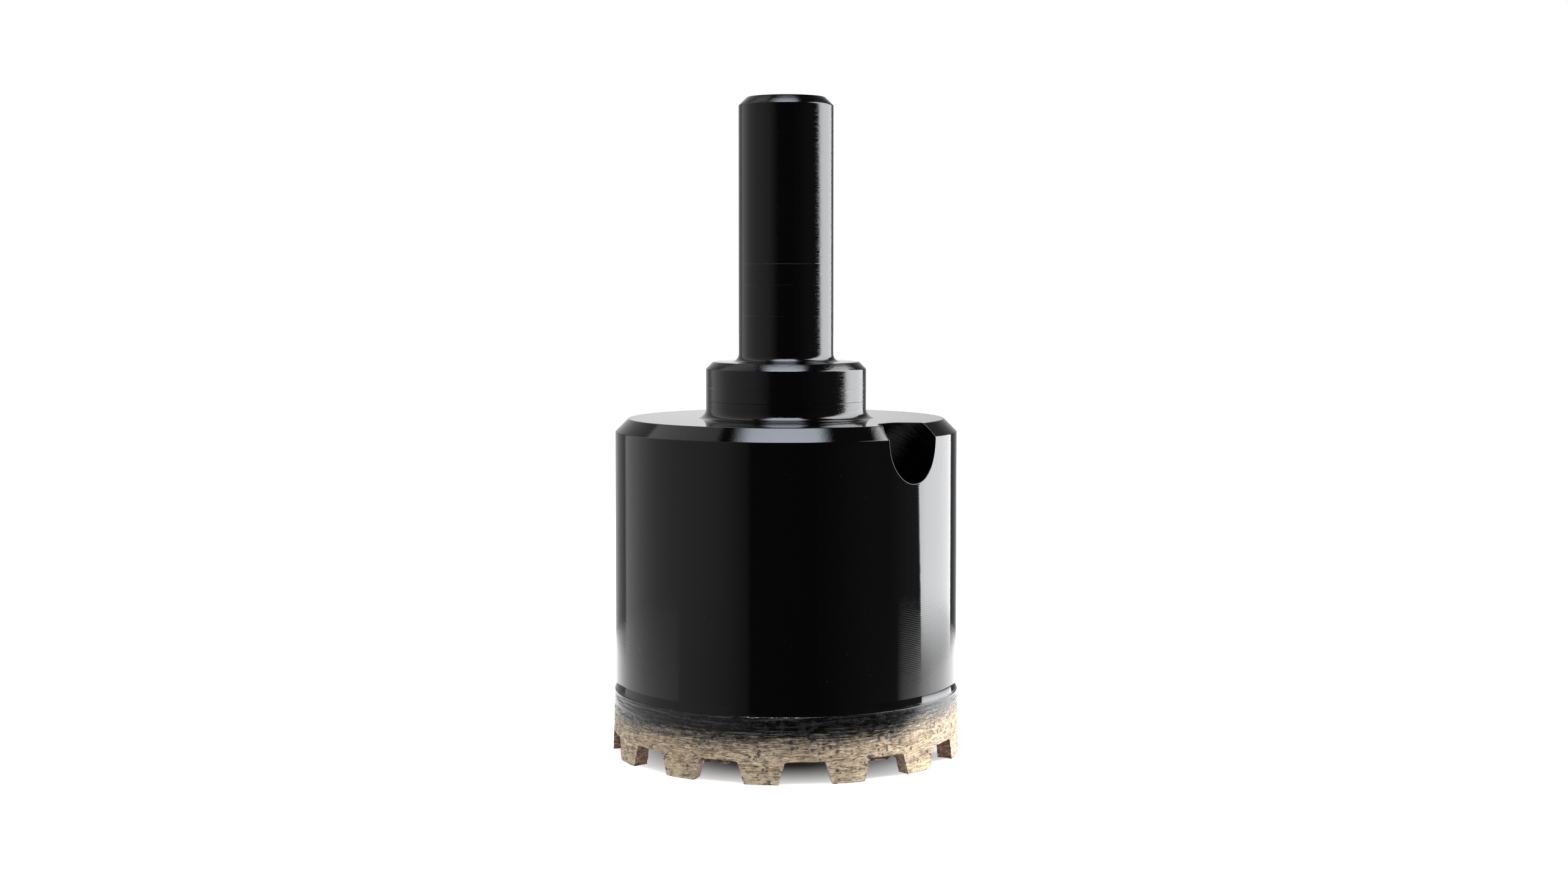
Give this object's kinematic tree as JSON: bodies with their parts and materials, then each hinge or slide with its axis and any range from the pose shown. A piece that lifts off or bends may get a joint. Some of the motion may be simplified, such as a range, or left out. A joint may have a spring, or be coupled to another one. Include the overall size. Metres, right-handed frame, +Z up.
{
  "type": "diamond core drill bit",
  "caption": "Cup-shaped diamond core bit with a plain round shank, a collar, a slanted ejection hole in its shoulder and a toothed sintered crown.",
  "frame": {"origin": "centre of the plane through the tooth tips, on the bit's axis", "axes": "+Z up the bit's axis towards the end of the shank, +X towards the ejection hole in the shoulder"},
  "size_m": [0.0439, 0.044, 0.0825],
  "materials": {
    "black_paint": "gloss black paint over turned steel",
    "sintered_bronze": "rough sintered bronze with diamond grit, ground in rings"
  },
  "bodies": {
    "root": {"steel_body": "black_paint", "diamond_crown": "sintered_bronze"}
  },
  "joints": []
}
